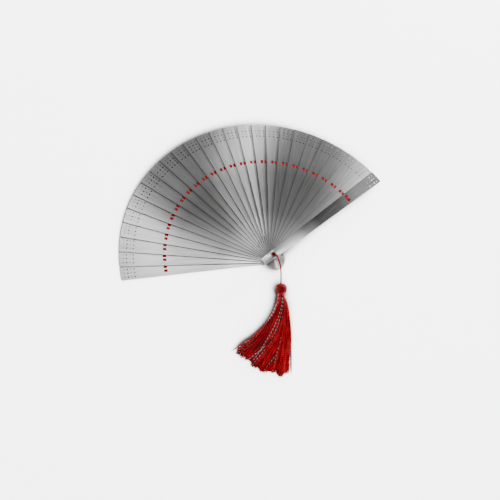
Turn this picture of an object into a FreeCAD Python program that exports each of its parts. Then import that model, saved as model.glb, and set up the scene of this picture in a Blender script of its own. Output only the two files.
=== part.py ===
import FreeCAD, Part
import math
import os

# A folding fan of perforated steel blades, lying open on its back guard.
# The pivot's axis is Z, the underside of the rivet's closed head is z = 0, and +Y is the middle of the spread.
# All sizes are in millimetres and all angles in degrees.

# Spread
INNER_COUNT = 24
BLADE_STEP = 6.0
LAST_STEP = 5.4
SPREAD = INNER_COUNT * BLADE_STEP + LAST_STEP

# Blades
RIM_R = 191.0
TAIL_R = 17.2
BLADE_T = 0.4
TAIL_W = 9.6
WAIST_R = 20.0
RIM_W = 21.2
CORNER_R = 0.8

# Guards, the two stiffer outer blades
GUARD_T = 0.8
GUARD_TAIL_W = 10.0
GUARD_RIM_W = 17.1
GUARD_CORNER_R = 1.2

# Perforations: columns across the blade, rows from the rim inwards, small and large holes in turn
HOLE_COLUMNS = 3
HOLE_ROWS = 4
COLUMN_PITCH = 5.07
ROW_PITCH = 4.13
FIRST_ROW_IN = 5.0
SMALL_HOLE_D = 1.25
LARGE_HOLE_D = 1.85

# Ribbon, and its clearances between the blades and at the sides of a slot
RIBBON_W = 4.0
RIBBON_T = 0.12
RIBBON_LIFT = 0.07
RIBBON_SIDE = 0.2
RIBBON_START = 2.0
BLADE_GAP = RIBBON_T + 2 * RIBBON_LIFT

# Slots for the ribbon, in pairs; a shift moves a pair off the blade's middle
SLOT_R = 135.1
SLOT_W = 3.5
SLOT_H = RIBBON_W + 2 * RIBBON_SIDE
SLOT_PITCH = 5.2
SLOT_SHIFT = 1.4
GUARD_SLOT_SHIFT = -0.25
SLOT_CORNER_R = 0.4

# Pivot: a tubular rivet with a closed flat head below and a flared rim above
SHANK_R = 3.05
SHANK_WALL = 0.5
TURNING_CLEARANCE = 0.08
HEAD_OVERLAP = 1.65
HEAD_T = 0.6
FLARE_OVERLAP = 0.85
FLARE_T = 0.35
SEAT_GAP = 0.05
WELL_D = 6.0

# Cord and tassel
CORD_D = 1.8
KNOT_CLEARANCE = 0.35
KNOT_FLAT = 0.35
TASSEL_HEAD_R = 7.2
TASSEL_HEAD_L = 14.0
NECK_R = 4.8
NECK_L = 5.0
SKIRT_NECK_T = 10.5
SKIRT_TIP_T = 4.5
FLOOR_CLEAR = 0.3

# Radii that follow from the rivet's shank
BORE_R = SHANK_R - SHANK_WALL
HEAD_R = SHANK_R + HEAD_OVERLAP
FLARE_R = SHANK_R + FLARE_OVERLAP
KNOT_R = BORE_R - KNOT_CLEARANCE

# Heights that follow from the stack
BACK_BOTTOM = HEAD_T + SEAT_GAP
FIRST_BOTTOM = BACK_BOTTOM + GUARD_T + BLADE_GAP
BLADE_PITCH = BLADE_T + BLADE_GAP
FRONT_BOTTOM = FIRST_BOTTOM + INNER_COUNT * BLADE_PITCH
STACK_TOP = FRONT_BOTTOM + GUARD_T
RIM_TOP = STACK_TOP + SEAT_GAP + FLARE_T
WELL_FLOOR = STACK_TOP - WELL_D
KNOT_TOP = WELL_FLOOR + SEAT_GAP + 2 * KNOT_R - KNOT_FLAT
TASSEL_AXIS_Z = FLOOR_CLEAR + TASSEL_HEAD_R

# The cord's middle: up out of the rivet, over its rim and the blades' tails, and down to the tassel's head
CORD_ROUTE = [
    (0.55, -0.35, KNOT_TOP),
    (0.62, -0.42, KNOT_TOP + 2.2),
    (1.5, -1.7, RIM_TOP + 1.7),
    (2.5, -4.6, RIM_TOP + 1.9),
    (2.1, -8.6, RIM_TOP + 1.3),
    (1.4, -12.9, RIM_TOP + 1.35),
    (0.5, -17.2, RIM_TOP + 1.5),
    (-0.1, -20.9, RIM_TOP - 1.6),
    (-0.5, -24.0, RIM_TOP - 5.2),
    (-1.3, -27.6, RIM_TOP - 8.4),
    (-2.7, -31.4, TASSEL_AXIS_Z + 0.6),
    (-4.5, -35.3, TASSEL_AXIS_Z),
]
TASSEL_TURN = -25.5

# The skirt as it lies, seen from above: (across, along) from the neck's end, two curved sides and the cut ends
SKIRT_LEFT = [(-NECK_R, 0.0), (-16.2, 32.0), (-54.4, 71.5)]
SKIRT_ENDS = [(-54.4, 71.5), (-48.5, 80.2), (-37.7, 86.7), (-3.9, 99.4), (8.7, 94.5)]
SKIRT_RIGHT = [(8.7, 94.5), (11.0, 34.1), (NECK_R, 0.0)]


def turned(shape, degrees):
    """The shape turned about the pivot's axis."""
    copy = shape.copy()
    copy.rotate(FreeCAD.Vector(0, 0, 0), FreeCAD.Vector(0, 0, 1), degrees)
    return copy


def axis_angle(index):
    """How far a blade's length is turned from +Y; the back guard is 0 and the front guard is last."""
    if index > INNER_COUNT:
        return -SPREAD / 2
    return SPREAD / 2 - BLADE_STEP * index


def blade_bottom(index):
    """Height of a blade's underside in the stack."""
    if index == 0:
        return BACK_BOTTOM
    return FIRST_BOTTOM + (index - 1) * BLADE_PITCH


def drill(x, y, radius, height):
    """A cutter for a round hole through a blade."""
    return Part.makeCylinder(radius, height + 2, FreeCAD.Vector(x, y, -1))


def slot_cutter(x, height):
    """A cutter for one ribbon slot, with rounded corners."""
    corner = FreeCAD.Vector(x - SLOT_W / 2, SLOT_R - SLOT_H / 2, -1)
    box = Part.makeBox(SLOT_W, SLOT_H, height + 2, corner)
    upright = [e for e in box.Edges if abs(e.tangentAt(e.FirstParameter).z) > 0.9]
    return box.makeFillet(SLOT_CORNER_R, upright)


def outline(tail_w, waist_r, waist_w, rim_w):
    """The face of a blade: square tail, straight sides and a rim curved about the pivot."""
    rim_y = math.sqrt(RIM_R ** 2 - (rim_w / 2) ** 2)
    left = [(-tail_w / 2, -TAIL_R), (-waist_w / 2, waist_r), (-rim_w / 2, rim_y)]
    right = [(-x, y) for x, y in reversed(left)]
    left = [FreeCAD.Vector(x, y, 0) for x, y in left]
    right = [FreeCAD.Vector(x, y, 0) for x, y in right]
    rim = Part.Arc(left[-1], FreeCAD.Vector(0, RIM_R, 0), right[0]).toShape()
    sides = [Part.LineSegment(a, b).toShape() for a, b in zip(left, left[1:])]
    sides += [rim]
    sides += [Part.LineSegment(a, b).toShape() for a, b in zip(right, right[1:])]
    sides += [Part.LineSegment(right[-1], left[0]).toShape()]
    return Part.Face(Part.Wire(sides))


def rounded(solid, radius, rim_w):
    """The blade with the four corners of its plan rounded."""
    corners = []
    for edge in solid.Edges:
        middle = edge.CenterOfMass
        upright = abs(edge.tangentAt(edge.FirstParameter).z) > 0.9
        if upright and (middle.y < 0 or abs(middle.x) > rim_w / 2 - 0.01):
            corners.append(edge)
    return solid.makeFillet(radius, corners)


def perforations(height):
    """Cutters for the holes near the rim."""
    holes = []
    for row in range(HOLE_ROWS):
        radius = (LARGE_HOLE_D if row % 2 else SMALL_HOLE_D) / 2
        y = RIM_R - FIRST_ROW_IN - row * ROW_PITCH
        for column in range(HOLE_COLUMNS):
            x = (column - (HOLE_COLUMNS - 1) / 2) * COLUMN_PITCH
            holes.append(drill(x, y, radius, height))
    return holes


def blade(tail_w, waist_r, waist_w, rim_w, height, corner_r, shift):
    """One blade along +Y with its underside at z = 0."""
    face = outline(tail_w, waist_r, waist_w, rim_w)
    solid = rounded(face.extrude(FreeCAD.Vector(0, 0, height)), corner_r, rim_w)
    cutters = perforations(height)
    cutters.append(drill(0, 0, SHANK_R + TURNING_CLEARANCE, height))
    cutters.append(slot_cutter(shift - SLOT_PITCH / 2, height))
    cutters.append(slot_cutter(shift + SLOT_PITCH / 2, height))
    return solid.cut(cutters)


def guard(shift):
    """An outer blade, narrower at the rim and tapering all the way."""
    share = (WAIST_R + TAIL_R) / (RIM_R + TAIL_R)
    waist_w = GUARD_TAIL_W + share * (GUARD_RIM_W - GUARD_TAIL_W)
    return blade(GUARD_TAIL_W, WAIST_R, waist_w, GUARD_RIM_W, GUARD_T, GUARD_CORNER_R, shift)


def inner_blade():
    """One of the blades between the guards."""
    return blade(TAIL_W, WAIST_R, TAIL_W, RIM_W, BLADE_T, CORNER_R, SLOT_SHIFT)


def placed(shape, index):
    """A blade's own shape at its place in the spread and the stack."""
    copy = turned(shape, axis_angle(index))
    copy.translate(FreeCAD.Vector(0, 0, blade_bottom(index)))
    return copy


def thick(line):
    """A side profile RIBBON_T thick around a line of (across, height) points."""
    half = RIBBON_T / 2
    return [(x, z + half) for x, z in line] + [(x, z - half) for x, z in reversed(line)]


def strip(line):
    """A flat length of ribbon, carried over the ribbon's width, along a line of (across, height) points."""
    points = [FreeCAD.Vector(x, SLOT_R - RIBBON_W / 2, z) for x, z in thick(line)]
    face = Part.Face(Part.makePolygon(points + points[:1]))
    return face.extrude(FreeCAD.Vector(0, RIBBON_W, 0))


def swing(across):
    """The angle about the pivot that a distance across the fan at the slots' radius takes."""
    return math.degrees(across / SLOT_R)


def sector(start, end):
    """A wedge about the pivot between two distances across, to trim a ribbon so that the next one meets it."""
    reach = 2 * SLOT_R
    corners = [FreeCAD.Vector(0, 0, -1)]
    for across in (start, end):
        angle = math.radians(swing(across))
        corners.append(FreeCAD.Vector(reach * math.sin(angle), reach * math.cos(angle), -1))
    face = Part.Face(Part.makePolygon(corners + corners[:1]))
    return face.extrude(FreeCAD.Vector(0, 0, 2 * STACK_TOP))


def ribbon_link(index):
    """The ribbon from under one blade, up through its right slot and on to the next blade."""
    last = index == INNER_COUNT
    low = blade_bottom(index) - BLADE_GAP / 2
    high = blade_bottom(index + 1) - BLADE_GAP / 2
    next_shift = GUARD_SLOT_SHIFT if last else SLOT_SHIFT
    pitch = SLOT_R * math.radians(LAST_STEP if last else BLADE_STEP)
    start = SLOT_SHIFT - SLOT_PITCH / 2 - RIBBON_START
    end = pitch + next_shift - SLOT_PITCH / 2 - RIBBON_START
    slot = SLOT_SHIFT + SLOT_PITCH / 2
    rise = SLOT_W / 2 - SLOT_CORNER_R
    middle = (start + end) / 2
    line = [(start - middle - 1, low), (slot - rise - middle, low)]
    line += [(slot + rise - middle, high), (end - middle + 1, high)]
    piece = strip(line).common(sector(start - middle, end - middle))
    return turned(piece, axis_angle(index) - swing(middle))


def ribbon_end():
    """The ribbon's last stretch: up through the front guard's left slot, over its bar and down again."""
    low = FRONT_BOTTOM - BLADE_GAP / 2
    high = STACK_TOP + BLADE_GAP / 2
    left = GUARD_SLOT_SHIFT - SLOT_PITCH / 2
    right = GUARD_SLOT_SHIFT + SLOT_PITCH / 2
    inner = SLOT_W / 2 - SLOT_CORNER_R
    start = left - RIBBON_START
    end = right + RIBBON_START
    middle = (start + end) / 2
    line = [(start - middle - 1, low), (left - inner - middle, low), (left + inner - middle, high)]
    line += [(right - inner - middle, high), (right + inner - middle, low), (end - middle + 1, low)]
    piece = strip(line).common(sector(start - middle, end - middle))
    return turned(piece, axis_angle(INNER_COUNT + 1) - swing(middle))


def pivot_rivet():
    """The closed head, the hollow shank and the flared rim, as one turned piece."""
    floor_z = STACK_TOP - WELL_D
    flare_z = STACK_TOP + SEAT_GAP
    head = Part.makeCylinder(HEAD_R, HEAD_T)
    head = head.makeFillet(HEAD_T * 0.4, [head.Edges[0]])
    shank = Part.makeCylinder(SHANK_R, RIM_TOP - HEAD_T, FreeCAD.Vector(0, 0, HEAD_T))
    flare = Part.makeCylinder(FLARE_R, FLARE_T, FreeCAD.Vector(0, 0, flare_z))
    flare = flare.makeFillet(FLARE_T * 0.6, [flare.Edges[0]])
    well = Part.makeCylinder(BORE_R, WELL_D * 2, FreeCAD.Vector(0, 0, floor_z))
    return head.fuse([shank, flare]).removeSplitter().cut(well)


def cord_path(points):
    """Straight runs joined by tangent arcs, each as large as its two runs allow."""
    knots = [FreeCAD.Vector(*p) for p in points]
    edges = []
    start = knots[0]
    for before, corner, after in zip(knots, knots[1:], knots[2:]):
        run_in = (corner - before).normalize()
        run_out = (after - corner).normalize()
        turn = run_in.getAngle(run_out)
        shorter = min((corner - before).Length, (after - corner).Length)
        setback = 0.45 * shorter
        radius = setback / math.tan(turn / 2)
        print(f"cord arc radius {radius:.1f} mm")
        first = corner - run_in * setback
        last = corner + run_out * setback
        toward = (run_out - run_in).normalize()
        centre = corner + toward * (radius / math.cos(turn / 2))
        middle = centre - toward * radius
        edges.append(Part.LineSegment(start, first).toShape())
        edges.append(Part.Arc(first, middle, last).toShape())
        start = last
    edges.append(Part.LineSegment(start, knots[-1]).toShape())
    return Part.Wire(edges)


def tassel_cord():
    """The cord's solid, and its volume against its section times its length."""
    path = cord_path(CORD_ROUTE)
    start = FreeCAD.Vector(*CORD_ROUTE[0])
    along = FreeCAD.Vector(*CORD_ROUTE[1]) - start
    section = Part.Wire(Part.makeCircle(CORD_D / 2, start, along))
    tube = path.makePipeShell([section], True, False)
    expected = math.pi * (CORD_D / 2) ** 2 * path.Length
    print(f"cord {path.Length:.1f} mm long, volume {tube.Volume / expected:.4f} of section times length")
    return tube


def cord_knot():
    """The stopper knot that sits in the well of the rivet, flat on top where the cord leaves it."""
    ball = Part.makeSphere(KNOT_R, FreeCAD.Vector(0, 0, KNOT_TOP + KNOT_FLAT - KNOT_R))
    flat = Part.makeBox(2 * KNOT_R, 2 * KNOT_R, KNOT_R, FreeCAD.Vector(-KNOT_R, -KNOT_R, KNOT_TOP))
    return ball.cut(flat)


def on_cord_end(shape):
    """Moves a shape made along -Y from the origin to the end of the cord, pointing along the tassel."""
    copy = turned(shape, TASSEL_TURN)
    x, y, z = CORD_ROUTE[-1]
    copy.translate(FreeCAD.Vector(x, y, z))
    return copy


def barrel(stations):
    """A round solid along -Y through (distance, radius) stations."""
    line = [FreeCAD.Vector(0, -distance, radius) for distance, radius in stations]
    line = [FreeCAD.Vector(0, -stations[0][0], 0)] + line + [FreeCAD.Vector(0, -stations[-1][0], 0)]
    face = Part.Face(Part.makePolygon(line + line[:1]))
    return face.revolve(FreeCAD.Vector(0, 0, 0), FreeCAD.Vector(0, 1, 0), 360)


def tassel_head():
    """The bound ball at the top of the tassel."""
    long, wide = TASSEL_HEAD_L, TASSEL_HEAD_R
    stations = [(0, 0.25 * wide), (0.07 * long, 0.62 * wide), (0.25 * long, 0.92 * wide)]
    stations += [(0.5 * long, wide), (0.75 * long, 0.92 * wide), (long, NECK_R)]
    return on_cord_end(barrel(stations))


def tassel_neck():
    """The wound binding below the head."""
    stations = [(0, NECK_R), (NECK_L, NECK_R)]
    neck = barrel(stations)
    neck.translate(FreeCAD.Vector(0, -TASSEL_HEAD_L, 0))
    return on_cord_end(neck)


def tassel_skirt():
    """The fringe, spread on the surface it lies on and thinner towards its ends."""
    neck_end = TASSEL_HEAD_L + NECK_L
    bottom = -TASSEL_HEAD_R
    left, ends, right = [
        [FreeCAD.Vector(x, -neck_end - along, bottom) for x, along in side]
        for side in (SKIRT_LEFT, SKIRT_ENDS, SKIRT_RIGHT)
    ]
    edges = [Part.Arc(*left).toShape()]
    edges += [Part.LineSegment(a, b).toShape() for a, b in zip(ends, ends[1:])]
    edges += [Part.Arc(*right).toShape(), Part.LineSegment(right[-1], left[0]).toShape()]
    slab = Part.Face(Part.Wire(edges)).extrude(FreeCAD.Vector(0, 0, 2 * TASSEL_HEAD_R))
    reach = max(along for across, along in SKIRT_ENDS)
    slope = (SKIRT_NECK_T - SKIRT_TIP_T) / reach
    top = [(-reach, SKIRT_NECK_T + slope * reach), (2 * reach, SKIRT_TIP_T - slope * reach)]
    top += [(2 * reach, 4 * TASSEL_HEAD_R), (-reach, 4 * TASSEL_HEAD_R)]
    corners = [FreeCAD.Vector(-reach, -neck_end - along, bottom + height) for along, height in top]
    above = Part.Face(Part.makePolygon(corners + corners[:1])).extrude(FreeCAD.Vector(2 * reach, 0, 0))
    return on_cord_end(slab.cut(above))


def save(name, shape):
    """Writes one sub-part."""
    if shape.ShapeType == "Compound" and len(shape.Solids) == 1:
        shape = shape.Solids[0]
    shape.exportStep(f"parts/{name}.step")


def main():
    os.makedirs("parts", exist_ok=True)
    save("pivot_rivet", pivot_rivet())
    save("back_guard", placed(guard(SLOT_SHIFT), 0))
    plain = inner_blade()
    for index in range(1, INNER_COUNT + 1):
        save(f"blade_{index:02d}", placed(plain, index))
    save("front_guard", placed(guard(GUARD_SLOT_SHIFT), INNER_COUNT + 1))
    for index in range(INNER_COUNT + 1):
        save(f"ribbon_{index:02d}", ribbon_link(index))
    save("ribbon_end", ribbon_end())
    save("cord_knot", cord_knot())
    save("tassel_cord", tassel_cord())
    save("tassel_head", tassel_head())
    save("tassel_neck", tassel_neck())
    save("tassel_skirt", tassel_skirt())


main()
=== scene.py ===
import bpy
import math
import numpy as np
from mathutils import Matrix, Vector


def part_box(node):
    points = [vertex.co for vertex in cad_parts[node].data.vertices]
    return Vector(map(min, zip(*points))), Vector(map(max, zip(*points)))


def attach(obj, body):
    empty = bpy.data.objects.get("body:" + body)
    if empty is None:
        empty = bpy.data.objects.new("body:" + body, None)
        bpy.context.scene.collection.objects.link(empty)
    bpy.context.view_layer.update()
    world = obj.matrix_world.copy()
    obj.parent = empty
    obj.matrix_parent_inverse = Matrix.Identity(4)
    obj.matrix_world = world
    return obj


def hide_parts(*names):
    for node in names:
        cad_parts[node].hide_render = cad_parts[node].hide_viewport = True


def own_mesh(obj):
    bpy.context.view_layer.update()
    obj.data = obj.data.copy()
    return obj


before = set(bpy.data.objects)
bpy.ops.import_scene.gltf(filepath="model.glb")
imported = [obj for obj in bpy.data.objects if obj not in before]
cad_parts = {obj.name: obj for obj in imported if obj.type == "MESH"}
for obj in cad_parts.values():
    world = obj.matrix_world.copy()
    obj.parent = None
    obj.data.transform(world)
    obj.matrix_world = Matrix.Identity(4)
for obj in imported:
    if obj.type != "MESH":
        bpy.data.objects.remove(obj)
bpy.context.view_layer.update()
mm = 0.001

view = {
    "target": (-0.0186, 0.0219, 0.0),  # where the middle of the view meets the floor
    "azimuth": 52.05,
    "elevation": 63.1,
    "roll": -28.34,
    "distance": 1.1809,
    "lens": 67.07,
    "nearest": 0.01,
}

blades = {
    "inner": 24,
    "step": 6.0,  # degrees from one blade to the next
    "lastStep": 5.4,  # to the front guard
    "stackStep": 0.66 * mm,  # height from one blade to the next
    "slotRadius": 135.1 * mm,
    "slotPitch": 5.2 * mm,
    "slotWidth": 3.5 * mm,
    "slotShift": 1.4 * mm,
    "guardShift": -0.25 * mm,
}
spread = blades["inner"] * blades["step"] + blades["lastStep"]


def bodyOf(index):
    if index == 0:
        return "back_guard"
    return "front_guard" if index > blades["inner"] else f"blade_{index:02d}"


def axisAngle(index):
    if index > blades["inner"]:
        return math.radians(-spread / 2)
    return math.radians(spread / 2 - blades["step"] * index)


def srgb(hexColour):
    # sRGB bytes to linear light: c / 12.92 near black, ((c + 0.055) / 1.055) ^ 2.4 above
    values = [int(hexColour[i:i + 2], 16) / 255 for i in (1, 3, 5)]
    linear = [c / 12.92 if c <= 0.04045 else ((c + 0.055) / 1.055) ** 2.4 for c in values]
    return (*linear, 1.0)


def newMaterial(name):
    material = bpy.data.materials.new(name)
    material.use_nodes = True
    material.node_tree.nodes.clear()
    return material


def addNode(material, kind, settings=None, inputs=None, output=0):
    # adds a node, applies its settings, sets or links its inputs, and gives back one output
    tree = material.node_tree
    node = tree.nodes.new(kind)
    for key, value in (settings or {}).items():
        setattr(node, key, value)
    for key, value in (inputs or {}).items():
        if isinstance(value, bpy.types.NodeSocket):
            tree.links.new(value, node.inputs[key])
        else:
            node.inputs[key].default_value = value
    return node.outputs[output] if len(node.outputs) else node


def shadeWith(material, shader):
    addNode(material, "ShaderNodeOutputMaterial", inputs={"Surface": shader})
    return material


def setRamp(socket, stops):
    # gives a colour ramp, by its output, stops of (place, colour)
    elements = socket.node.color_ramp.elements
    while len(elements) < len(stops):
        elements.new(0.5)
    for element, (place, colour) in zip(elements, stops):
        element.position = place
        element.color = colour
    return socket


def meshPiece(name, points, faces, uv=None, smooth=True):
    mesh = bpy.data.meshes.new(name)
    mesh.from_pydata(points.reshape(-1, 3), [], faces.reshape(-1, faces.shape[-1]))
    if uv is not None:
        layer = mesh.uv_layers.new(name="UVMap")
        corner = np.zeros(len(mesh.loops), np.int32)
        mesh.loops.foreach_get("vertex_index", corner)
        layer.data.foreach_set("uv", uv.reshape(-1, 2)[corner].astype(np.float32).ravel())
    mesh.polygons.foreach_set("use_smooth", np.full(len(mesh.polygons), smooth))
    mesh.update()
    piece = bpy.data.objects.new(name, mesh)
    bpy.context.collection.objects.link(piece)
    return piece


def ringFaces(rings, sides):
    # quads between neighbouring rings of points, each ring closed on itself
    i, j = np.meshgrid(np.arange(rings - 1), np.arange(sides), indexing="ij")
    k = (j + 1) % sides
    first, second = i * sides, (i + 1) * sides
    return np.stack([first + j, first + k, second + k, second + j], -1).reshape(-1, 4)


def frames(line):
    # tangents by central differences, and two normals carried along without twist
    tangent = np.gradient(line, axis=0)
    tangent /= np.linalg.norm(tangent, axis=1, keepdims=True)
    side = np.cross(tangent, [0.0, 0.0, 1.0])
    upright = np.linalg.norm(side, axis=1) < 0.2
    side[upright] = np.cross(tangent[upright], [0.0, 1.0, 0.0])
    for i in range(1, len(line)):
        carried = side[i - 1] - tangent[i] * (side[i - 1] @ tangent[i])
        side[i] = carried / np.linalg.norm(carried)
    side[0] /= np.linalg.norm(side[0])
    return tangent, side, np.cross(tangent, side)


def tubes(lines, radii, sides):
    # many tubes at once: point = line + radius (cos v side + sin v up), v round the section;
    # the radii draw the ends in
    count, rings = lines.shape[:2]
    tangent = np.gradient(lines, axis=1)
    tangent /= np.linalg.norm(tangent, axis=2, keepdims=True)
    side = np.cross(tangent, np.array([0.0, 0.0, 1.0]))
    side /= np.maximum(np.linalg.norm(side, axis=2, keepdims=True), 1e-9)
    up = np.cross(side, tangent)
    v = np.linspace(0, 2 * math.pi, sides, endpoint=False)
    ring = side[:, :, None] * np.cos(v)[:, None] + up[:, :, None] * np.sin(v)[:, None]
    points = lines[:, :, None] + ring * radii[:, :, None, None]
    stretches = np.linalg.norm(np.diff(lines, axis=1), axis=2)
    length = np.concatenate([np.zeros((count, 1)), np.cumsum(stretches, 1)], 1)
    uv = np.zeros((count, rings, sides, 2))
    uv[..., 0] = length[:, :, None] / mm
    uv[..., 1] = np.linspace(0, 1, sides)[None, None]
    faces = ringFaces(rings, sides)[None] + (np.arange(count) * rings * sides)[:, None, None]
    return points, faces[..., ::-1], uv


steelMarks = {
    "reflectionReach": 200 * mm,  # the radius at which the painted reflection tones end
    "tail": 22 * mm,  # the roughness changes from the tail's to the blade's between these radii
    "blade": 60 * mm,
    "shut": 0.45,  # the painted shade is darkest up to this openness, and gone from the next
    "clear": 0.92,
    "edge": 0.3,  # a cut edge up to this height of the normal, a face from the next
    "face": 0.6,
    "roughSpread": 0.06,  # between the floors of the scratches and their crests
    "relief": 0.02 * mm,
}


def brushedSteel(name, steel):
    # Stainless sheet brushed along the blade: fine scratches that run outwards stretch each reflection
    # across the blade, so the blades take their lightness from the way they point.
    # Scratches: noise on (angle x slot radius / width, radius / length), with a pattern of its own for
    # each height in the stack. They are drawn a few times wider than real, so that they show.
    # Lightness: scratches + wide bands + a step of its own for each blade, all about nought, + the painted
    # reflection, a ramp on the radius in place of the reflections that light and darken the blades along
    # their length.
    # Painted shade: the colour is darker where the blade above closes the surface off, by occlusion over a
    # short distance.
    # Faces whose normals lie flat, the cut edges and the walls between the blades, are darker: partly the
    # duller cut, partly painted shade in the narrow gaps of the stack.
    material = newMaterial(name)
    place = addNode(material, "ShaderNodeTexCoord", output=3)
    split = addNode(material, "ShaderNodeSeparateXYZ", inputs={0: place}).node
    x, y, z = split.outputs
    angle = addNode(material, "ShaderNodeMath", {"operation": "ARCTAN2"}, {0: x, 1: y})
    flat = addNode(material, "ShaderNodeCombineXYZ", inputs={0: x, 1: y})
    radius = addNode(material, "ShaderNodeVectorMath", {"operation": "LENGTH"}, {0: flat}, output=1)
    level = addNode(material, "ShaderNodeMath", {"operation": "DIVIDE"}, {0: z, 1: blades["stackStep"]})
    level = addNode(material, "ShaderNodeMath", {"operation": "FLOOR"}, {0: level})
    own = addNode(material, "ShaderNodeTexWhiteNoise", {"noise_dimensions": "1D"}, {"W": level})

    def streaks(width, length, detail):
        across = addNode(material, "ShaderNodeMath", {"operation": "MULTIPLY"},
                         {0: angle, 1: blades["slotRadius"] / (width * mm)})
        along = addNode(material, "ShaderNodeMath", {"operation": "DIVIDE"}, {0: radius, 1: length * mm})
        at = addNode(material, "ShaderNodeCombineXYZ", inputs={0: across, 1: along, 2: level})
        return addNode(material, "ShaderNodeTexNoise",
                       inputs={"Vector": at, "Scale": 1.0, "Detail": detail, "Roughness": 0.6})

    scratch = streaks(steel["scratchWidth"], steel["scratchLength"], 3.0)
    band = streaks(steel["bandWidth"], steel["bandLength"], 2.0)
    # painted reflection: a ramp of tone on the radius stands for the reflections that light the blades near
    # the pivot and darken them at mid length
    out = addNode(material, "ShaderNodeMath", {"operation": "DIVIDE"},
                  {0: radius, 1: steelMarks["reflectionReach"]})
    paintedReflection = setRamp(addNode(material, "ShaderNodeValToRGB", inputs={0: out}),
                     [(at, (tone, tone, tone, 1)) for at, tone in steel["reflectionTones"]])
    shade = -(steel["scratchContrast"] + steel["bandContrast"] + steel["step"]) / 2
    for pattern, contrast in ((scratch, "scratchContrast"), (band, "bandContrast"), (own, "step")):
        shade = addNode(material, "ShaderNodeMath", {"operation": "MULTIPLY_ADD"},
                        {0: pattern, 1: steel[contrast], 2: shade})
    shade = addNode(material, "ShaderNodeMath", {"operation": "ADD"}, {0: shade, 1: paintedReflection})
    colour = setRamp(addNode(material, "ShaderNodeValToRGB", inputs={0: shade}),
                     [(0.0, srgb(steel["dark"])), (1.0, srgb(steel["light"]))])

    # painted shade: occlusion darkens the colour in the narrow gaps under the blade above
    openness = addNode(material, "ShaderNodeAmbientOcclusion", {"samples": 8},
                       {"Distance": steel["paintedShade"] * mm}, output=1)
    paintedShade = addNode(material, "ShaderNodeMapRange", {"interpolation_type": "SMOOTHSTEP"},
                   {0: openness, 1: steelMarks["shut"], 2: steelMarks["clear"], 3: steel["paintedShadeTone"], 4: 1.0})
    colour = addNode(material, "ShaderNodeVectorMath", {"operation": "SCALE"}, {0: colour, "Scale": paintedShade})
    # painted shade, partly the duller cut: faces whose normals lie flat are darkened
    normal = addNode(material, "ShaderNodeTexCoord", output=1)
    facing = addNode(material, "ShaderNodeSeparateXYZ", inputs={0: normal}, output=2)
    facing = addNode(material, "ShaderNodeMath", {"operation": "ABSOLUTE"}, {0: facing})
    edge = addNode(material, "ShaderNodeMapRange",
                   inputs={0: facing, 1: steelMarks["edge"], 2: steelMarks["face"],
                           3: steel["edgeShadeTone"], 4: 1.0})
    colour = addNode(material, "ShaderNodeVectorMath", {"operation": "SCALE"}, {0: colour, "Scale": edge})

    smoothest = steel["roughness"] - steelMarks["roughSpread"] / 2
    rough = addNode(material, "ShaderNodeMapRange",
                    inputs={0: radius, 1: steelMarks["tail"], 2: steelMarks["blade"],
                            3: steel["tailRoughness"], 4: smoothest})
    rough = addNode(material, "ShaderNodeMath", {"operation": "MULTIPLY_ADD"},
                    {0: scratch, 1: steelMarks["roughSpread"], 2: rough})
    bump = addNode(material, "ShaderNodeBump",
                   inputs={"Height": scratch, "Strength": steel["bump"], "Distance": steelMarks["relief"]})
    across = addNode(material, "ShaderNodeVectorMath", {"operation": "CROSS_PRODUCT"},
                     {0: (0.0, 0.0, 1.0), 1: flat})
    across = addNode(material, "ShaderNodeVectorTransform",
                     {"vector_type": "VECTOR", "convert_from": "OBJECT", "convert_to": "WORLD"}, {0: across})
    across = addNode(material, "ShaderNodeVectorMath", {"operation": "NORMALIZE"}, {0: across})
    return shadeWith(material, addNode(material, "ShaderNodeBsdfPrincipled", inputs={
        "Base Color": colour, "Metallic": steel["metallic"], "Roughness": rough,
        "Anisotropic": steel["anisotropy"], "Tangent": across, "Normal": bump}))


threadLook = {
    "cloudShare": 0.75,  # of the colour that slow noise settles, and where it starts
    "cloudStart": 0.08,
    "darkAt": 0.15,
    "middleAt": 0.5,
    "lightAt": 0.85,
    "bump": 0.5,
    "specular": 0.25,
}


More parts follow.
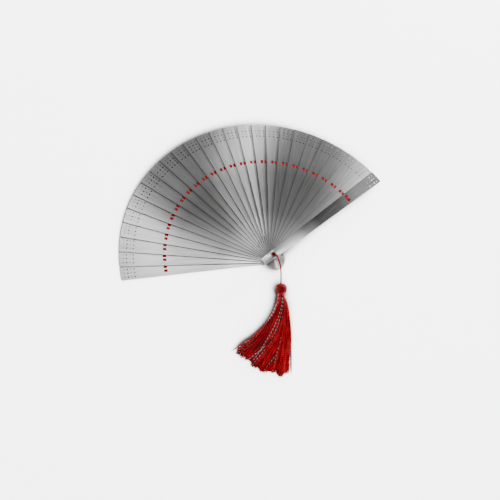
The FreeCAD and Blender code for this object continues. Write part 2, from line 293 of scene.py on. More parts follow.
def silkThread(name, thread):
    # Rayon thread: a glossy dyed yarn, twisted, with a painted highlight and shade in slanting dashes along
    # the twist; in the silver yarn the dashes are also its silver and red plies.
    # Twist: a sine of (v - length / pitch) on the piece's UV map, u in millimetres along and v round the
    # yarn. The pitch is a few times the real one, so that the dashes show.
    material = newMaterial(name)
    uv = addNode(material, "ShaderNodeTexCoord", output=2)
    split = addNode(material, "ShaderNodeSeparateXYZ", inputs={0: uv}).node
    turns = addNode(material, "ShaderNodeMath", {"operation": "DIVIDE"},
                    {0: split.outputs[0], 1: thread["pitch"]})
    phase = addNode(material, "ShaderNodeMath", {"operation": "SUBTRACT"}, {0: split.outputs[1], 1: turns})
    wave = addNode(material, "ShaderNodeMath", {"operation": "MULTIPLY"}, {0: phase, 1: 2 * math.pi})
    twist = addNode(material, "ShaderNodeMath", {"operation": "SINE"}, {0: wave})
    twist = addNode(material, "ShaderNodeMapRange", inputs={0: twist, 1: -1.0, 2: 1.0})
    place = addNode(material, "ShaderNodeTexCoord", output=3)
    cloud = addNode(material, "ShaderNodeTexNoise",
                    inputs={"Vector": place, "Scale": 1 / (thread["patch"] * mm), "Detail": 2.0})
    start = threadLook["cloudStart"] - thread["dashes"] / 2
    shade = addNode(material, "ShaderNodeMath", {"operation": "MULTIPLY_ADD"},
                    {0: cloud, 1: threadLook["cloudShare"], 2: start})
    # painted highlight and shade: the twist lightens and darkens the colour
    shade = addNode(material, "ShaderNodeMath", {"operation": "MULTIPLY_ADD"},
                    {0: twist, 1: thread["dashes"], 2: shade})
    colour = setRamp(addNode(material, "ShaderNodeValToRGB", inputs={0: shade}),
                     [(threadLook[f"{tone}At"], srgb(thread[tone])) for tone in ("dark", "middle", "light")])
    bump = addNode(material, "ShaderNodeBump",
                   inputs={"Height": twist, "Strength": threadLook["bump"],
                           "Distance": thread["relief"] * mm})
    return shadeWith(material, addNode(material, "ShaderNodeBsdfPrincipled", inputs={
        "Base Color": colour, "Metallic": thread["metallic"], "Roughness": thread["roughness"],
        "Specular IOR Level": threadLook["specular"], "Sheen Weight": thread["sheen"],
        "Sheen Tint": srgb(thread["light"]), "Normal": bump}))


def satinRibbon(name, ribbon):
    # Woven satin ribbon: dyed polyester, with fine ribs across it.
    # Weave: ribs as a sine of the length times warp threads as a sine of the width, on the UV map in
    # millimetres, about twice as coarse as real, so that it shows.
    material = newMaterial(name)
    uv = addNode(material, "ShaderNodeTexCoord", output=2)
    split = addNode(material, "ShaderNodeSeparateXYZ", inputs={0: uv}).node
    waves = []
    for axis, spacing in ((0, ribbon["ribSpacing"]), (1, ribbon["warpSpacing"])):
        wave = addNode(material, "ShaderNodeMath", {"operation": "MULTIPLY"},
                       {0: split.outputs[axis], 1: 2 * math.pi / spacing})
        waves.append(addNode(material, "ShaderNodeMath", {"operation": "SINE"}, {0: wave}))
    weave = addNode(material, "ShaderNodeMath", {"operation": "MULTIPLY"}, {0: waves[0], 1: waves[1]})
    weave = addNode(material, "ShaderNodeMapRange", inputs={0: weave, 1: -1.0, 2: 1.0})
    place = addNode(material, "ShaderNodeTexCoord", output=3)
    cloud = addNode(material, "ShaderNodeTexNoise",
                    inputs={"Vector": place, "Scale": 1 / (ribbon["patch"] * mm), "Detail": 2.0})
    shade = addNode(material, "ShaderNodeMath", {"operation": "MULTIPLY"},
                    {0: weave, 1: ribbon["weaveShare"]})
    shade = addNode(material, "ShaderNodeMath", {"operation": "MULTIPLY_ADD"},
                    {0: cloud, 1: 1 - ribbon["weaveShare"], 2: shade})
    colour = setRamp(addNode(material, "ShaderNodeValToRGB", inputs={0: shade}),
                     [(ribbon["darkAt"], srgb(ribbon["dark"])), (ribbon["lightAt"], srgb(ribbon["light"]))])
    bump = addNode(material, "ShaderNodeBump",
                   inputs={"Height": weave, "Strength": ribbon["bump"], "Distance": ribbon["relief"] * mm})
    return shadeWith(material, addNode(material, "ShaderNodeBsdfPrincipled", inputs={
        "Base Color": colour, "Roughness": ribbon["roughness"], "Specular IOR Level": ribbon["specular"],
        "Normal": bump}))


# widths, lengths and the painted shade's reach in millimetres; painted reflection tones as (share of the
# reach, tone)
stampedSheet = {
    "dark": "#3c3c3b", "light": "#ffffff", "metallic": 0.8, "roughness": 0.29, "tailRoughness": 0.5,
    "anisotropy": 0.95, "bump": 0.3, "paintedShade": 2.0, "paintedShadeTone": 0.12, "edgeShadeTone": 0.3, "step": 0.0,
    "scratchWidth": 0.8, "scratchLength": 40.0, "bandWidth": 2.6, "bandLength": 110.0,
}
steelFinish = {
    "blade": {
        **stampedSheet, "roughness": 0.3, "tailRoughness": 0.45, "step": 0.1,
        "scratchContrast": 0.5, "bandWidth": 2.4, "bandContrast": 0.3,
        # painted reflection tones along the radius
        "reflectionTones": [
            (0.0, 1.0), (0.15, 0.95), (0.32, 0.5), (0.45, 0.4), (0.6, 0.38), (0.75, 0.54), (0.95, 0.54),
        ],
    },
    "frontGuard": {
        **stampedSheet, "dark": "#202020", "scratchContrast": 0.16, "bandContrast": 0.12,
        # painted reflection: the front guard is light at the pivot and dark at mid length
        "reflectionTones": [
            (0.0, 1.0), (0.15, 0.9), (0.27, 0.3), (0.4, 0.06), (0.6, 0.06), (0.75, 0.17), (0.95, 0.16),
        ],
    },
    "backGuard": {
        **stampedSheet, "scratchContrast": 0.4, "bandContrast": 0.3,
        "reflectionTones": [(0.0, 0.8), (0.2, 0.7), (0.45, 0.62), (0.6, 0.66), (0.95, 0.8)],
    },
    "rivet": {
        "dark": "#7c7c7b", "light": "#ffffff", "metallic": 0.9, "roughness": 0.2, "tailRoughness": 0.25,
        "anisotropy": 0.2, "bump": 0.05, "paintedShade": 1.0, "paintedShadeTone": 0.5, "edgeShadeTone": 1.0, "step": 0.0,
        "scratchWidth": 2.0, "scratchLength": 2.0, "scratchContrast": 0.2,
        "bandWidth": 4.0, "bandLength": 6.0, "bandContrast": 0.1, "reflectionTones": [(0.0, 0.5), (1.0, 0.5)],
    },
}
# pitch of the twist, patches of colour and relief in millimetres
threadFinish = {
    "red": {
        "dark": "#5c000c", "middle": "#d20018", "light": "#ff1030", "pitch": 2.6, "patch": 9.0,
        "relief": 0.12, "dashes": 0.4, "roughness": 0.36, "metallic": 0.0, "sheen": 0.1,
    },
    "deepRed": {
        "dark": "#200005", "middle": "#7a0010", "light": "#b8001c", "pitch": 2.2, "patch": 7.0,
        "relief": 0.12, "dashes": 0.4, "roughness": 0.4, "metallic": 0.0, "sheen": 0.05,
    },
    "silver": {
        "dark": "#46000a", "middle": "#a89c9a", "light": "#ffffff", "pitch": 4.6, "patch": 4.0,
        "relief": 0.1, "dashes": 1.1, "roughness": 0.3, "metallic": 0.6, "sheen": 0.0,
    },
    "head": {
        "dark": "#300006", "middle": "#980010", "light": "#da001c", "pitch": 2.6, "patch": 3.0,
        "relief": 0.15, "dashes": 0.4, "roughness": 0.65, "metallic": 0.0, "sheen": 0.0,
    },
    "cord": {
        "dark": "#3c0004", "middle": "#9c0010", "light": "#dc0a20", "pitch": 1.6, "patch": 5.0,
        "relief": 0.1, "dashes": 0.4, "roughness": 0.45, "metallic": 0.0, "sheen": 0.1,
    },
}
ribbonFinish = {
    "dark": "#7e0000", "light": "#e60002", "darkAt": 0.25, "lightAt": 0.7,
    "ribSpacing": 0.3, "warpSpacing": 0.25, "weaveShare": 0.35, "patch": 2.5, "relief": 0.05,
    "bump": 0.4, "roughness": 0.65, "specular": 0.25,
}

bladeSteel = brushedSteel("stainlessBrushedBlade", steelFinish["blade"])
frontGuardSteel = brushedSteel("stainlessBrushedFrontGuard", steelFinish["frontGuard"])
backGuardSteel = brushedSteel("stainlessBrushedBackGuard", steelFinish["backGuard"])
rivetSteel = brushedSteel("stainlessTurnedRivet", steelFinish["rivet"])
redThread = silkThread("rayonThreadRed", threadFinish["red"])
deepThread = silkThread("rayonThreadDeepRed", threadFinish["deepRed"])
silverThread = silkThread("lurexThreadSilver", threadFinish["silver"])
headThread = silkThread("rayonThreadHead", threadFinish["head"])
cordThread = silkThread("rayonCordRed", threadFinish["cord"])
ribbonSatin = satinRibbon("satinRibbonRed", ribbonFinish)
print("materials made")

ownFinish = {
    "front_guard": frontGuardSteel,
    "back_guard": backGuardSteel,
    "pivot_rivet": rivetSteel,
    "cord_knot": cordThread,
}
for nodeName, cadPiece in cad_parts.items():
    finish = bladeSteel if nodeName.startswith("blade_") else ownFinish.get(nodeName)
    if finish is None:  # the soft nodes, which detailed pieces replace
        continue
    for materialSlot in cadPiece.material_slots:
        materialSlot.material = finish
print("steel finished")


ribbonSize = {
    "width": 4.0 * mm,
    "thickness": 0.12 * mm,
    "start": 2.0 * mm,  # under a blade, before its left slot
    "rise": 1.35 * mm,  # half the length that it takes to come up through a slot
    "gap": 0.26 * mm,  # between two blades
    "handOver": 0.35 * mm,  # past the right slot, where the second stretch begins
    "folded": 0.04,  # share of that stretch's length that is left in the closed fan
    "acrossPoints": 9,
    "loopPoints": 40,
    "foldPoints": 14,
    "endPoints": 60,
}


def ribbonStrip(name, index, xs, zs):
    # a thin closed strip: x across the fan becomes an angle x / R about the pivot, the width lies along
    # the blade, and both faces are crowned by thickness x (1 - w^2) / 4, w from -1 to 1
    w = np.linspace(-1, 1, ribbonSize["acrossPoints"])
    crown = ribbonSize["thickness"] * (1 - w ** 2) / 4
    half = ribbonSize["thickness"] / 2
    angle = axisAngle(index) - xs / blades["slotRadius"]
    radius = blades["slotRadius"] + w * ribbonSize["width"] / 2
    x = -np.sin(angle)[:, None] * radius[None]
    y = np.cos(angle)[:, None] * radius[None]
    top, bottom = (np.stack([x, y, zs[:, None] + face + crown[None]], -1) for face in (half, -half))
    loop = np.concatenate([top, bottom[:, ::-1]], 1)
    around = loop.shape[1]
    j = np.arange(len(w) - 1)
    cap = np.stack([j, j + 1, around - 2 - j, around - 1 - j], -1)
    lastRow = (len(xs) - 1) * around
    faces = np.concatenate([ringFaces(len(xs), around)[:, ::-1], cap[:, ::-1], cap + lastRow])
    uv = np.zeros((len(xs), around, 2))
    uv[..., 0] = xs[:, None] / mm
    uv[..., 1] = np.concatenate([w, w[::-1]])[None] * ribbonSize["width"] / 2 / mm
    piece = meshPiece(name, loop, faces, uv)
    piece.data.materials.append(ribbonSatin)
    return piece


def rising(xs, middle, low, high):
    # height = low + (high - low) s, s a smooth step 3t^2 - 2t^3 over the rise about the slot's middle
    t = np.clip((xs - middle + ribbonSize["rise"]) / (2 * ribbonSize["rise"]), 0, 1)
    return low + (high - low) * t * t * (3 - 2 * t)


def bladeHeights(index):
    low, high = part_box(bodyOf(index))
    return low[2], high[2]


def weaveRibbon():
    # from under each blade up through its right slot and on, over the blade, to under the next one; the
    # stretch beyond the slot is a piece of its own, with a mesh of its own
    halfPitch = blades["slotPitch"] / 2
    slot = blades["slotShift"] + halfPitch
    start = blades["slotShift"] - halfPitch - ribbonSize["start"]
    split = slot + blades["slotWidth"] / 2 + ribbonSize["handOver"]
    guard = blades["inner"] + 1
    for index in range(guard):
        below = bladeHeights(index)[0] - ribbonSize["gap"] / 2
        above = bladeHeights(index + 1)[0] - ribbonSize["gap"] / 2
        last = index == blades["inner"]
        step = math.radians(blades["lastStep"] if last else blades["step"])
        nextShift = blades["guardShift"] if last else blades["slotShift"]
        end = blades["slotRadius"] * step + nextShift - halfPitch - ribbonSize["start"]
        xs = np.linspace(start, split, ribbonSize["loopPoints"])
        loop = ribbonStrip(f"ribbonLoop{index:02d}", index, xs, rising(xs, slot, below, above))
        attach(loop, bodyOf(index))
        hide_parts(f"ribbon_{index:02d}")
        xs = np.linspace(split, end, ribbonSize["foldPoints"])
        fold = ribbonStrip(f"ribbonFold{index:02d}", index, xs, rising(xs, slot, below, above))
        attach(fold, bodyOf(index))
        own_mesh(fold)
    under = bladeHeights(guard)[0] - ribbonSize["gap"] / 2
    over = bladeHeights(guard)[1] + ribbonSize["gap"] / 2
    left, right = blades["guardShift"] - halfPitch, blades["guardShift"] + halfPitch
    xs = np.linspace(left - ribbonSize["start"], right + ribbonSize["start"], ribbonSize["endPoints"])
    zs = np.minimum(rising(xs, left, under, over), rising(-xs, -right, under, over))
    dash = ribbonStrip("ribbonOverBar", guard, xs, zs)
    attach(dash, "front_guard")
    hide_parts("ribbon_end")


weaveRibbon()
print("ribbon woven")


# the cord takes the same route as the part's own, from the knot in the rivet to the tassel
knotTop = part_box("cord_knot")[1][2] / mm
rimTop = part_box("pivot_rivet")[1][2] / mm
headLow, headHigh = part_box("tassel_head")
axisZ = (headLow[2] + headHigh[2]) / 2 / mm
cordSize = {
    "diameter": 1.8 * mm,
    "plies": 3,
    "plyPitch": 5.0 * mm,
    "points": 160,
    "sides": 10,
    "tip": 0.02,  # share of the radius that is left at a ply's ends
    "route": [
        (0.55, -0.35, knotTop),
        (0.62, -0.42, knotTop + 2.2),
        (1.5, -1.7, rimTop + 1.7),
        (2.5, -4.6, rimTop + 1.9),
        (2.1, -8.6, rimTop + 1.3),
        (1.4, -12.9, rimTop + 1.35),
        (0.5, -17.2, rimTop + 1.5),
        (-0.1, -20.9, rimTop - 1.6),
        (-0.5, -24.0, rimTop - 5.2),
        (-1.3, -27.6, rimTop - 8.4),
        (-2.7, -31.4, axisZ + 0.6),
        (-4.5, -35.3, axisZ),
    ],
}


def routeLine(route):
    # the points of a quadratic NURBS line with the route as its control points
    curve = bpy.data.curves.new("cordRoute", "CURVE")
    curve.dimensions = "3D"
    spline = curve.splines.new("NURBS")
    spline.points.add(len(route) - 1)
    for point, place in zip(spline.points, route):
        point.co = (*(Vector(place) * mm), 1.0)
    spline.order_u = 3
    spline.use_endpoint_u = True
    spline.resolution_u = 16
    carrier = bpy.data.objects.new("cordRoute", curve)
    mesh = bpy.data.meshes.new_from_object(carrier)
    line = np.zeros(len(mesh.vertices) * 3)
    mesh.vertices.foreach_get("co", line)
    bpy.data.objects.remove(carrier)
    bpy.data.curves.remove(curve)
    bpy.data.meshes.remove(mesh)
    return line.reshape(-1, 3)


def resampled(line, count):
    # count points evenly spaced along the line, and its length
    along = np.concatenate([[0], np.cumsum(np.linalg.norm(np.diff(line, axis=0), axis=1))])
    at = np.linspace(0, along[-1], count)
    return np.stack([np.interp(at, along, line[:, k]) for k in range(3)], 1), along[-1]


def twistedCord():
    # plies as helices round the line: offset = r (cos a side + sin a up), a = 2 pi (length / pitch + share);
    # a ply is a third of the cord's width in radius and lies a quarter of it off the line, pressed together
    line, length = resampled(routeLine(cordSize["route"]), cordSize["points"])
    side, up = frames(line)[1:]
    plyRadius = cordSize["diameter"] / 3
    offset = cordSize["diameter"] / 4
    along = np.linspace(0, length, len(line))
    plies = []
    for ply in range(cordSize["plies"]):
        a = 2 * math.pi * (along / cordSize["plyPitch"] + ply / cordSize["plies"])
        plies.append(line + offset * (np.cos(a)[:, None] * side + np.sin(a)[:, None] * up))
    plies = np.stack(plies)
    radii = np.full(plies.shape[:2], plyRadius)
    radii[:, [0, -1]] *= cordSize["tip"]
    points, faces, uv = tubes(plies, radii, cordSize["sides"])
    piece = meshPiece("tasselCord", points, faces, uv)
    piece.data.materials.append(cordThread)
    return piece, line, length


cordPiece, cordLine, cordLength = twistedCord()
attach(cordPiece, "tassel")
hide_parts("tassel_cord")
print(f"cord laid, {cordLength / mm:.1f} mm")


# the tassel is made along -Y from the cord's end and turned into place
tassel = {
    "turn": -25.5,
    "headLength": 14.0 * mm,
    "headRadius": 6.6 * mm,
    "headStrands": 30,
    "headStrandRadius": 0.8 * mm,
    "headStrandLeast": 0.25,  # share of the strand's radius that is left where the head is narrow
    "headTwist": 55,  # degrees that a strand turns from the top of the head to the neck
    "headSpacing": 0.05,  # how unevenly the strands stand round the head, in radians
    "headSink": 0.05,  # how far strands sink in, as a share of the radius, and the most they may
    "headSinkMost": 0.09,
    "headPoints": 26,  # along each strand
    "neckLength": 5.0 * mm,
    "neckRadius": 4.8 * mm,
    "bindingTurns": 5,
    "bindingPoints": 36,  # for each turn
    "bindingRadius": 0.5 * mm,
    "strandSides": 8,
    "coreOverlap": 1.0 * mm,  # of the neck's core with the head and the skirt
}
headProfile = np.array([
    (0.0, 0.75), (0.8, 1.6), (2.0, 3.9), (3.6, 5.7), (6.0, 6.6), (8.5, 6.6), (11.0, 5.7), (12.8, 4.6),
    (14.0, 4.2),
]) * mm
tasselOrigin = Vector((cordSize["route"][-1][0] * mm, cordSize["route"][-1][1] * mm, 0))


def toTassel(points):
    # turns points from the tassel's own frame about Z and moves them to the cord's end
    turn = math.radians(tassel["turn"])
    c, s = math.cos(turn), math.sin(turn)
    x, y, z = points[..., 0], points[..., 1], points[..., 2]
    return np.stack([c * x - s * y + tasselOrigin.x, s * x + c * y + tasselOrigin.y, z], -1)


def profileRadius(distance):
    # a smooth curve through the head's (distance, radius) stations: straight steps, averaged over a window
    window = 31
    fine = np.linspace(0, headProfile[-1, 0], 200)
    radius = np.interp(fine, headProfile[:, 0], headProfile[:, 1])
    kernel = np.hanning(window)
    padded = np.pad(radius, window // 2, mode="edge")
    radius = np.convolve(padded, kernel / kernel.sum(), "valid")
    return np.interp(distance, fine, radius)


def revolved(name, distances, radii, around, material):
    # a surface of revolution about the tassel's axis, closed where its radii end at nought
    v = np.linspace(0, 2 * math.pi, around, endpoint=False)
    x = radii[:, None] * np.cos(v)[None]
    z = axisZ * mm + radii[:, None] * np.sin(v)[None]
    y = -np.repeat(distances[:, None], around, 1)
    points = toTassel(np.stack([x, y, z], -1))
    uv = np.zeros((len(distances), around, 2))
    uv[..., 0] = distances[:, None] / mm
    uv[..., 1] = np.linspace(0, 1, around)[None]
    piece = meshPiece(name, points, ringFaces(len(distances), around), uv)
    piece.data.materials.append(material)
    return piece


def tasselHead(rng):
    # strands over a core: each follows the profile as it turns about the axis, angle = start + twist x
    # distance, and sinks in a little at its middle, by a sine of the distance
    distance = np.linspace(0.0, tassel["headLength"], tassel["headPoints"])
    share = distance / tassel["headLength"]
    profile = profileRadius(distance)
    starts = np.linspace(0, 2 * math.pi, tassel["headStrands"], endpoint=False)
    starts = starts + rng.normal(0, tassel["headSpacing"], len(starts))
    sink = np.clip(tassel["headSink"] * rng.normal(0, 1, len(starts)), -tassel["headSinkMost"], 0.0)
    angle = starts[:, None] + math.radians(tassel["headTwist"]) * share[None]
    radius = profile[None] * (1 + sink[:, None] * np.sin(math.pi * share)[None])
    lines = np.stack([radius * np.cos(angle), -np.repeat(distance[None], len(starts), 0),
                      axisZ * mm + radius * np.sin(angle)], -1)
    width = tassel["headStrandRadius"] * np.clip(profile / tassel["headRadius"], tassel["headStrandLeast"], 1)
    radii = np.repeat(width[None], len(starts), 0)
    points, faces, uv = tubes(toTassel(lines), radii, tassel["strandSides"])
    piece = meshPiece("tasselHead", points, faces, uv)
    piece.data.materials.append(headThread)
    closing = np.sin(np.linspace(0, math.pi, len(distance))) ** 0.15
    core = revolved("tasselHeadCore", distance, profile * closing, 32, deepThread)
    return piece, core


def tasselNeck():
    # a thread wound round the neck: a helix of the neck's radius, over a plain core
    t = np.linspace(0, 1, tassel["bindingPoints"] * tassel["bindingTurns"])
    wound = tassel["neckLength"] - 2 * tassel["bindingRadius"]
    angle = 2 * math.pi * tassel["bindingTurns"] * t
    radius = tassel["neckRadius"] - tassel["bindingRadius"]
    line = np.stack([radius * np.cos(angle), -tassel["headLength"] - tassel["bindingRadius"] - wound * t,
                     axisZ * mm + radius * np.sin(angle)], -1)[None]
    radii = np.full(line.shape[:2], tassel["bindingRadius"])
    radii[:, [0, -1]] *= 0.1
    points, faces, uv = tubes(toTassel(line), radii, tassel["strandSides"])
    piece = meshPiece("tasselNeckBinding", points, faces, uv)
    piece.data.materials.append(redThread)
    top = tassel["headLength"] - tassel["coreOverlap"]
    bottom = tassel["headLength"] + tassel["neckLength"] + tassel["coreOverlap"]
    closing = np.sin(np.linspace(0.02, math.pi - 0.02, 12)) ** 0.2
    distance = np.linspace(top, bottom, len(closing))
    core = revolved("tasselNeckCore", distance, radius * closing, 28, deepThread)
    return piece, core


# across and down from the neck: the two sides at their start, middle and end, and the cut edge
skirt = {
    "left": np.array([(-4.2, 0.0), (-16.2, 32.0), (-54.4, 71.5)]) * mm,
    "right": np.array([(4.2, 0.0), (10.6, 34.1), (5.8, 95.0)]) * mm,
    "ends": np.array([
        (-57.5, 69.5), (-52.0, 78.0), (-40.0, 84.5), (-34.0, 91.5), (-5.0, 99.0), (5.8, 95.0),
    ]) * mm,
    "middleAt": 0.42,  # share of a strand's length at which it passes the sides' middles
    "strands": 340,
    "locks": 30,
    "points": 20,
    "sides": 6,
    "strandRadius": 0.56 * mm,
    "spacing": 0.3,  # how unevenly the locks are spread, as a share of their distance
    "loose": {"share": 0.02, "start": 0.16, "middle": 0.09, "end": 0.008},  # strands about their lock
    "strayShare": 0.08,
    "stray": 3.5 * mm,
    "longest": 1.03,
    "ragged": 0.03,  # how far strands end short, and how much more at the left
    "raggedLeft": 0.09,
    "raggedLock": 0.6,  # how much of that a whole lock has in common, and how much is a strand's own
    "raggedOwn": 0.5,
    "sway": 1.7 * mm,  # across, at the tip, and the share of it that goes along
    "swayAlong": 0.4,
    "neckHigh": 4.2 * mm,
    "thick": 4.2 * mm,  # of the heap at its tip, and that times rootThick at the neck
    "rootThick": 1.55,
    "sideThick": 0.55,  # share of the thickness that is left at the two sides
    "ripple": 0.25 * mm,
    "floorGap": 0.35 * mm,
    "tuck": 1.5 * mm,  # how far the strands reach up into the neck
    "tuckOver": 90 * mm,
    "deepShare": 0.3,
    "deepShadeLow": {"more": 0.3, "below": 0.4},  # painted shade: more deep red low in the heap, as a share of its height
    "deepRight": {"less": 0.25, "past": 0.62},  # across the skirt
    "silverShare": 0.07,
    "silverMore": [(0.3, 0.0, 0.1), (0.12, 0.42, 0.16)],  # how much more, where across the skirt, how widely
    "silverSize": 0.75,
    "sizes": (0.85, 1.15),  # least and most of a strand's radius, then its share at the root and at the tip
    "rootSize": 0.3,
    "tipSize": 0.35,
}


def through(a, b, c, t, at):
    # the parabola that passes a at 0, b at the given share and c at 1
    t = t[None, :, None]
    la = (t - at) * (t - 1) / at
    lb = t * (t - 1) / (at * (at - 1))
    lc = t * (t - at) / (1 - at)
    return a[:, None] * la + b[:, None] * lb + c[:, None] * lc


def skirtLines(rng):
    # each strand starts in the neck's disc, passes between the two curved sides and ends near the cut
    # edge, in a lock with its neighbours; its height falls from the disc to a thin layer on the floor,
    # and slow waves set it apart
    count, loose = skirt["strands"], skirt["loose"]
    t = np.linspace(0, 1, skirt["points"])
    locks = np.arange(skirt["locks"]) + 0.5 + rng.normal(0, skirt["spacing"], skirt["locks"])
    locks /= skirt["locks"]
    lock = rng.integers(0, len(locks), count)
    share = np.clip(locks[lock] + rng.normal(0, loose["share"], count), 0, 1)
    startShare = np.clip(share + rng.normal(0, loose["start"], count), 0, 1)
    u = 2 * startShare - 1
    v = rng.uniform(0, 1, count)
    disc = np.sqrt(np.maximum(1 - (0.95 * u) ** 2, 0))
    start = np.stack([0.9 * skirt["left"][0, 0] * -u, np.zeros(count)], 1)
    middleShare = np.clip(share + rng.normal(0, loose["middle"], count), 0.0, 1.0)[:, None]
    middle = skirt["left"][1] * (1 - middleShare) + skirt["right"][1] * middleShare
    stations = np.linspace(0, 1, len(skirt["ends"]))
    endShare = np.clip(locks[lock] + rng.normal(0, loose["end"], count), 0, 1)
    end = np.stack([np.interp(endShare, stations, skirt["ends"][:, k]) for k in range(2)], 1)
    stray = rng.uniform(0, 1, count) < skirt["strayShare"]
    end[:, 0] += stray * rng.normal(0, skirt["stray"], count)
    plan = through(start, middle, end, t, skirt["middleAt"])

    ragged = skirt["ragged"] + skirt["raggedLeft"] * (1 - share) ** 2
    short = skirt["raggedLock"] * np.abs(rng.normal(0, 1, len(locks)))[lock]
    short += skirt["raggedOwn"] * np.abs(rng.normal(0, 1, count))
    plan = plan * (skirt["longest"] - short * ragged)[:, None, None]
    phase = rng.uniform(0, 2 * math.pi, (2, count, 1))
    waves = rng.uniform(0.5, 1.5, (count, 1))
    sway = skirt["sway"] * t * np.sin(2 * math.pi * t * waves + phase[0])
    plan[..., 0] += sway
    plan[..., 1] += skirt["swayAlong"] * sway

    high = axisZ * mm + (skirt["neckHigh"] * disc * (2 * v - 1))[:, None]
    floor = skirt["floorGap"] + skirt["strandRadius"]
    sides = skirt["sideThick"] + (1 - skirt["sideThick"]) * np.sqrt(np.maximum(1 - u ** 2, 0))
    thick = skirt["thick"] * (skirt["rootThick"] + (1 - skirt["rootThick"]) * t) * sides[:, None]
    ripple = skirt["ripple"] * np.sin(5 * math.pi * t + phase[1])
    low = floor + v[:, None] * (thick + ripple)
    s = np.clip(t / skirt["middleAt"], 0, 1)
    fallen = s * s * (3 - 2 * s)
    z = np.maximum(high * (1 - fallen) + low * fallen, floor)
    top = tassel["headLength"] + tassel["neckLength"] - skirt["tuck"]
    y = -top - plan[..., 1] * (1 + skirt["tuck"] / skirt["tuckOver"])
    return toTassel(np.stack([plan[..., 0], y, z], -1)), v, share


def tasselSkirt(rng):
    # silver mostly at the left edge and in the middle; deeper red more often on the left, and low in the heap
    # as painted shade under the strands above
    lines, layer, share = skirtLines(rng)
    silverOdds = skirt["silverShare"]
    for more, at, width in skirt["silverMore"]:
        silverOdds = silverOdds + more * np.exp(-((share - at) / width) ** 2)
    silver = rng.uniform(0, 1, len(lines)) < silverOdds
    low, right = skirt["deepShadeLow"], skirt["deepRight"]
    deepOdds = skirt["deepShare"] + low["more"] * (layer < low["below"])
    deepOdds -= right["less"] * (share > right["past"])
    deep = ~silver & (rng.uniform(0, 1, len(lines)) < deepOdds)
    groups = (
        ("tasselSkirtRed", ~silver & ~deep, redThread, 1.0),
        ("tasselSkirtDeep", deep, deepThread, 1.0),
        ("tasselSkirtSilver", silver, silverThread, skirt["silverSize"]),
    )
    pieces = []
    for name, chosen, material, size in groups:
        few = lines[chosen]
        radii = np.full(few.shape[:2], skirt["strandRadius"] * size)
        radii *= rng.uniform(*skirt["sizes"], (len(few), 1))
        radii[:, 0] *= skirt["rootSize"]
        radii[:, -1] *= skirt["tipSize"]
        points, faces, uv = tubes(few, radii, skirt["sides"])
        piece = meshPiece(name, points, faces, uv)
        piece.data.materials.append(material)
        pieces.append(piece)
    return pieces


rng = np.random.default_rng(11)
headPieces = tasselHead(rng)
neckPieces = tasselNeck()
skirtPieces = tasselSkirt(rng)
replacing = {"tassel_head": headPieces, "tassel_neck": neckPieces, "tassel_skirt": skirtPieces}
for nodeName, nodePieces in replacing.items():
    for piece in nodePieces:
        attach(piece, "tassel")
        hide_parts(nodeName)
print("tassel made")


studio = {
    "floorReach": 60.0,
    "floorGap": 0.03 * mm,  # keeps the floor out of the rivet's flat head
    "floorGlow": 5.0,
    "glowFrom": 0.6,  # openness at which the floor starts to glow, and at which it glows in full; less open, it is a painted shadow
    "glowTo": 0.88,
    "shadowShades": [(0.35, "#101010"), (0.52, "#727272"), (0.66, "#727272"), (0.85, "#fbfbfb")],  # painted shadow tones, by openness
    "lean": (-0.3, -0.6, 0.742),  # the way that the floor looks for something over it, which leans the painted shadow
    "closedOff": 60.0 * mm,  # and how far
    "worldColour": "#f4f4f4",
    "world": 0.13,
    "boxes": [  # place, what it points at, size, power
        {"place": (1.25, 2.23, 1.54), "aim": (0.0, 0.08, 0.0), "size": 0.6, "power": 64},
        {"place": (0.648, 0.411, 0.456), "aim": (0.03, 0.16, 0.0), "size": 0.16, "power": 1.3},
        {"place": (-0.018, 0.023, 0.81), "aim": (-0.03, 0.03, 0.0), "size": 0.16, "power": 0.5},
        {"place": (2.88, 0.74, 0.52), "aim": (0.0, 0.08, 0.0), "size": 0.4, "power": 130},
    ],
}


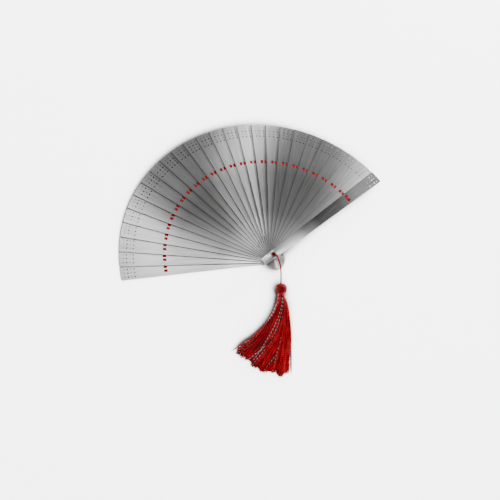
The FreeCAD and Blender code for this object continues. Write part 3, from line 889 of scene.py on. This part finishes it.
def whitePaper():
    # matt white paper: it glows in place of lighting where it is open; where something lies close over it, a
    # painted shadow darkens its colour and takes its glow away
    paper = newMaterial("whitePaperSweep")
    leanX, leanY, leanZ = studio["lean"]
    lean = addNode(paper, "ShaderNodeCombineXYZ", inputs={0: leanX, 1: leanY, 2: leanZ})
    # painted shadow: occlusion darkens the floor's colour and dims its glow under and beside the fan
    openness = addNode(paper, "ShaderNodeAmbientOcclusion", {"samples": 16},
                       {"Distance": studio["closedOff"], "Normal": lean}, output=1)
    glow = addNode(paper, "ShaderNodeMapRange", {"interpolation_type": "SMOOTHSTEP"},
                   {0: openness, 1: studio["glowFrom"], 2: studio["glowTo"], 3: 0.0, 4: studio["floorGlow"]})
    tone = setRamp(addNode(paper, "ShaderNodeValToRGB", inputs={0: openness}),
                   [(at, srgb(colour)) for at, colour in studio["shadowShades"]])
    return shadeWith(paper, addNode(paper, "ShaderNodeBsdfPrincipled", inputs={
        "Base Color": tone, "Roughness": 0.9, "Emission Color": srgb("#ffffff"), "Emission Strength": glow}))


def buildStudio():
    world = bpy.data.worlds.new("studio")
    bpy.context.scene.world = world
    world.use_nodes = True
    background = world.node_tree.nodes["Background"]
    background.inputs[0].default_value = srgb(studio["worldColour"])
    background.inputs[1].default_value = studio["world"]
    for number, box in enumerate(studio["boxes"]):
        lamp = bpy.data.lights.new(f"softbox{number}", "AREA")
        lamp.shape = "SQUARE"
        lamp.size = box["size"]
        lamp.energy = box["power"]
        piece = bpy.data.objects.new(lamp.name, lamp)
        piece.location = box["place"]
        piece.rotation_euler = (Vector(box["place"]) - Vector(box["aim"])).to_track_quat("Z", "Y").to_euler()
        piece.visible_camera = False
        bpy.context.collection.objects.link(piece)
    corners = np.array([(-1, -1, 0), (1, -1, 0), (1, 1, 0), (-1, 1, 0)]) * studio["floorReach"]
    corners[:, 2] = -studio["floorGap"]
    floor = meshPiece("floor", corners, np.array([[0, 1, 2, 3]]), smooth=False)
    floor.data.materials.append(whitePaper())


def placeCamera():
    # stands back from the target at the view's azimuth and elevation, turned by the roll about that line
    a, e = math.radians(view["azimuth"]), math.radians(view["elevation"])
    back = Vector((-math.sin(a) * math.cos(e), -math.cos(a) * math.cos(e), math.sin(e)))
    up = Vector((0, 0, 1)) - back * back.z
    up.normalize()
    right = up.cross(back)
    turn = math.radians(view["roll"])
    rolledUp = up * math.cos(turn) + right * math.sin(turn)
    rolledRight = rolledUp.cross(back)
    lens = bpy.data.cameras.new("camera")
    lens.lens = view["lens"]
    lens.clip_start = view["nearest"]
    camera = bpy.data.objects.new("camera", lens)
    basis = Matrix((rolledRight, rolledUp, back)).transposed().to_4x4()
    camera.matrix_world = Matrix.Translation(Vector(view["target"]) + back * view["distance"]) @ basis
    bpy.context.collection.objects.link(camera)
    bpy.context.scene.camera = camera


buildStudio()
placeCamera()
print("studio set")
